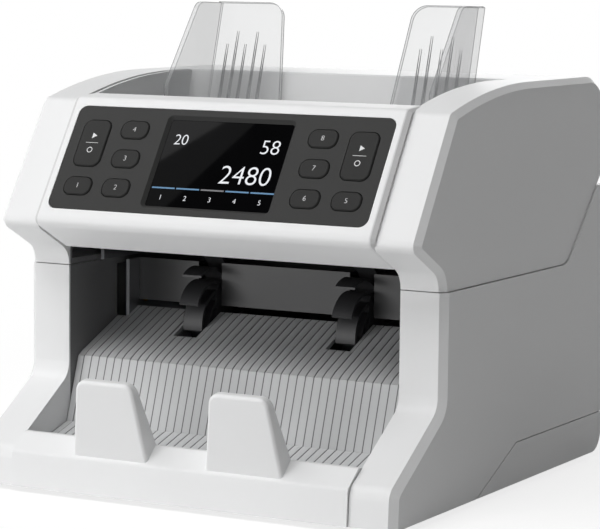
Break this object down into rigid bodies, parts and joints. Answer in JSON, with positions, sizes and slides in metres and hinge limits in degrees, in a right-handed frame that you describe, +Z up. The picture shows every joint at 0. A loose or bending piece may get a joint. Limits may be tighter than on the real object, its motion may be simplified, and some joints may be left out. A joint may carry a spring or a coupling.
{
  "type": "banknote counting machine",
  "caption": "Desktop banknote counter: open front pocket with vaned stacker wheels under a sloped keypad panel with screen, and a top hopper with clear sliding guides.",
  "frame": {"origin": "on the floor under the middle of the machine's outline", "axes": "+X to the right of someone facing the keypad, +Y to the rear, +Z up"},
  "size_m": [0.256, 0.2754, 0.2608],
  "materials": {
    "casing_white": "satin moulded",
    "pocket_grey": "satin moulded",
    "keypad_charcoal": "matte",
    "guide_black": "matte",
    "screen_black": "gloss",
    "clear_plastic": "clear",
    "plate_steel": "plain",
    "shaft_steel": "ground",
    "roller_rubber": "matte",
    "wheel_plastic": "matte",
    "motor_can": "satin",
    "bush_brass": "plain",
    "board_green": "solder mask"
  },
  "bodies": {
    "lower_unit": {"base_pan": "casing_white", "lower_housing": "casing_white", "front_lip": "casing_white", "pocket_plate": "pocket_grey", "lower_frame_left": "plate_steel", "lower_frame_right": "plate_steel", "lower_guide": "guide_black", "rear_guide": "guide_black", "image_sensor": "guide_black", "transport_motor": "motor_can", "transport_belt": "roller_rubber", "power_supply": "board_green", "main_board": "board_green", "power_inlet": "guide_black", "rubber_feet": "roller_rubber", "case_screws": "shaft_steel", "lower_bearings": "bush_brass", "hinge_pins": "shaft_steel"},
    "upper_unit": {"upper_housing": "casing_white", "display_housing": "casing_white", "keypad_panel": "keypad_charcoal", "screen_glass": "screen_black", "display_module": "plate_steel", "key_boards": "board_green", "hopper_tray": "pocket_grey", "upper_guide": "guide_black", "separation_holder": "guide_black", "separation_pad": "roller_rubber", "upper_frame_left": "plate_steel", "upper_frame_right": "plate_steel", "hopper_motor": "motor_can", "hopper_belt": "roller_rubber", "upper_bearings": "bush_brass"},
    "stacker": {"stacker_shaft": "shaft_steel", "stacker_wheels": "wheel_plastic", "stacker_pulley": "wheel_plastic"},
    "transport": {"transport_shaft": "shaft_steel", "transport_rollers": "roller_rubber", "transport_pulley": "wheel_plastic"},
    "transport_rotor": {"transport_motor_pulley": "wheel_plastic"},
    "pressure": {"pressure_rollers": "wheel_plastic"},
    "feed": {"feed_shaft": "shaft_steel", "feed_rollers": "roller_rubber"},
    "pickup": {"pickup_shaft": "shaft_steel", "pickup_rollers": "roller_rubber"},
    "hopper_rotor": {"hopper_motor_pulley": "wheel_plastic"},
    "left_guide": {"left_guide": "clear_plastic"},
    "right_guide": {"right_guide": "clear_plastic"},
    "guide_pinion": {"guide_pinion": "wheel_plastic"},
    "power_rocker": {"power_rocker": "guide_black"},
    "left_upper_key": {"left_upper_key": "keypad_charcoal"},
    "left_middle_key": {"left_middle_key": "keypad_charcoal"},
    "left_lower_key": {"left_lower_key": "keypad_charcoal"},
    "left_corner_key": {"left_corner_key": "keypad_charcoal"},
    "left_tall_key": {"left_tall_key": "keypad_charcoal"},
    "right_upper_key": {"right_upper_key": "keypad_charcoal"},
    "right_middle_key": {"right_middle_key": "keypad_charcoal"},
    "right_lower_key": {"right_lower_key": "keypad_charcoal"},
    "right_corner_key": {"right_corner_key": "keypad_charcoal"},
    "right_tall_key": {"right_tall_key": "keypad_charcoal"}
  },
  "joints": [
    {"name": "upper_unit_swing", "type": "hinge", "parent": "lower_unit", "child": "upper_unit", "pos_m": [0, 0.12418, 0.159], "axis": [-1, 0, 0], "range_deg": [0, 40]},
    {"name": "stacker_spin", "type": "hinge", "parent": "lower_unit", "child": "stacker", "pos_m": [0, -0.00782, 0.096], "axis": [1, 0, 0], "continuous": true},
    {"name": "transport_spin", "type": "hinge", "parent": "lower_unit", "child": "transport", "pos_m": [0, 0.03218, 0.10385], "axis": [1, 0, 0], "continuous": true},
    {"name": "transport_motor_spin", "type": "hinge", "parent": "lower_unit", "child": "transport_rotor", "pos_m": [0, 0.05418, 0.061], "axis": [1, 0, 0], "continuous": true},
    {"name": "pressure_spin", "type": "hinge", "parent": "upper_unit", "child": "pressure", "pos_m": [0, 0.03218, 0.12315], "axis": [1, 0, 0], "continuous": true},
    {"name": "feed_spin", "type": "hinge", "parent": "upper_unit", "child": "feed", "pos_m": [0, 0.05818, 0.144], "axis": [1, 0, 0], "continuous": true},
    {"name": "pickup_spin", "type": "hinge", "parent": "upper_unit", "child": "pickup", "pos_m": [0, 0.01418, 0.16729], "axis": [1, 0, 0], "continuous": true},
    {"name": "hopper_motor_spin", "type": "hinge", "parent": "upper_unit", "child": "hopper_rotor", "pos_m": [0, -0.02782, 0.154], "axis": [1, 0, 0], "continuous": true},
    {"name": "right_guide_slide", "type": "slide", "parent": "upper_unit", "child": "right_guide", "axis": [1, 0, 0], "range_m": [-0.027, 0.01]},
    {"name": "left_guide_slide", "type": "slide", "parent": "upper_unit", "child": "left_guide", "axis": [1, 0, 0], "range_m": [-0.01, 0.027]},
    {"name": "guide_pinion_spin", "type": "hinge", "parent": "upper_unit", "child": "guide_pinion", "pos_m": [0, -0.01435, 0.17754], "axis": [0, 0.225, 0.9744], "range_deg": [-72, 194]},
    {"name": "power_rocker_tip", "type": "hinge", "parent": "lower_unit", "child": "power_rocker", "pos_m": [-0.078, 0.13018, 0.082], "axis": [1, 0, 0], "range_deg": [0, 12]},
    {"name": "left_upper_key_press", "type": "slide", "parent": "upper_unit", "child": "left_upper_key", "axis": [0, 0.8406, -0.5417], "range_m": [0, 0.001], "stiffness_N_per_m": 500, "springref_m": -0.0004},
    {"name": "left_middle_key_press", "type": "slide", "parent": "upper_unit", "child": "left_middle_key", "axis": [0, 0.8406, -0.5417], "range_m": [0, 0.001], "stiffness_N_per_m": 500, "springref_m": -0.0004},
    {"name": "left_lower_key_press", "type": "slide", "parent": "upper_unit", "child": "left_lower_key", "axis": [0, 0.8406, -0.5417], "range_m": [0, 0.001], "stiffness_N_per_m": 500, "springref_m": -0.0004},
    {"name": "left_corner_key_press", "type": "slide", "parent": "upper_unit", "child": "left_corner_key", "axis": [0, 0.8406, -0.5417], "range_m": [0, 0.001], "stiffness_N_per_m": 500, "springref_m": -0.0004},
    {"name": "left_tall_key_press", "type": "slide", "parent": "upper_unit", "child": "left_tall_key", "axis": [0, 0.8406, -0.5417], "range_m": [0, 0.001], "stiffness_N_per_m": 500, "springref_m": -0.0004},
    {"name": "right_upper_key_press", "type": "slide", "parent": "upper_unit", "child": "right_upper_key", "axis": [0, 0.8406, -0.5417], "range_m": [0, 0.001], "stiffness_N_per_m": 500, "springref_m": -0.0004},
    {"name": "right_middle_key_press", "type": "slide", "parent": "upper_unit", "child": "right_middle_key", "axis": [0, 0.8406, -0.5417], "range_m": [0, 0.001], "stiffness_N_per_m": 500, "springref_m": -0.0004},
    {"name": "right_lower_key_press", "type": "slide", "parent": "upper_unit", "child": "right_lower_key", "axis": [0, 0.8406, -0.5417], "range_m": [0, 0.001], "stiffness_N_per_m": 500, "springref_m": -0.0004},
    {"name": "right_corner_key_press", "type": "slide", "parent": "upper_unit", "child": "right_corner_key", "axis": [0, 0.8406, -0.5417], "range_m": [0, 0.001], "stiffness_N_per_m": 500, "springref_m": -0.0004},
    {"name": "right_tall_key_press", "type": "slide", "parent": "upper_unit", "child": "right_tall_key", "axis": [0, 0.8406, -0.5417], "range_m": [0, 0.001], "stiffness_N_per_m": 500, "springref_m": -0.0004}
  ],
  "couplings": [
    {"joint": "transport_spin", "follows": "stacker_spin", "ratio": 2.1429},
    {"joint": "transport_motor_spin", "follows": "stacker_spin", "ratio": 2.5},
    {"joint": "pressure_spin", "follows": "stacker_spin", "ratio": -4.6429},
    {"joint": "pickup_spin", "follows": "feed_spin", "ratio": 1.75},
    {"joint": "hopper_motor_spin", "follows": "feed_spin", "ratio": 2.3333},
    {"joint": "left_guide_slide", "follows": "right_guide_slide", "ratio": -1},
    {"joint": "guide_pinion_spin", "follows": "right_guide_slide", "rad_per_m": -125}
  ]
}
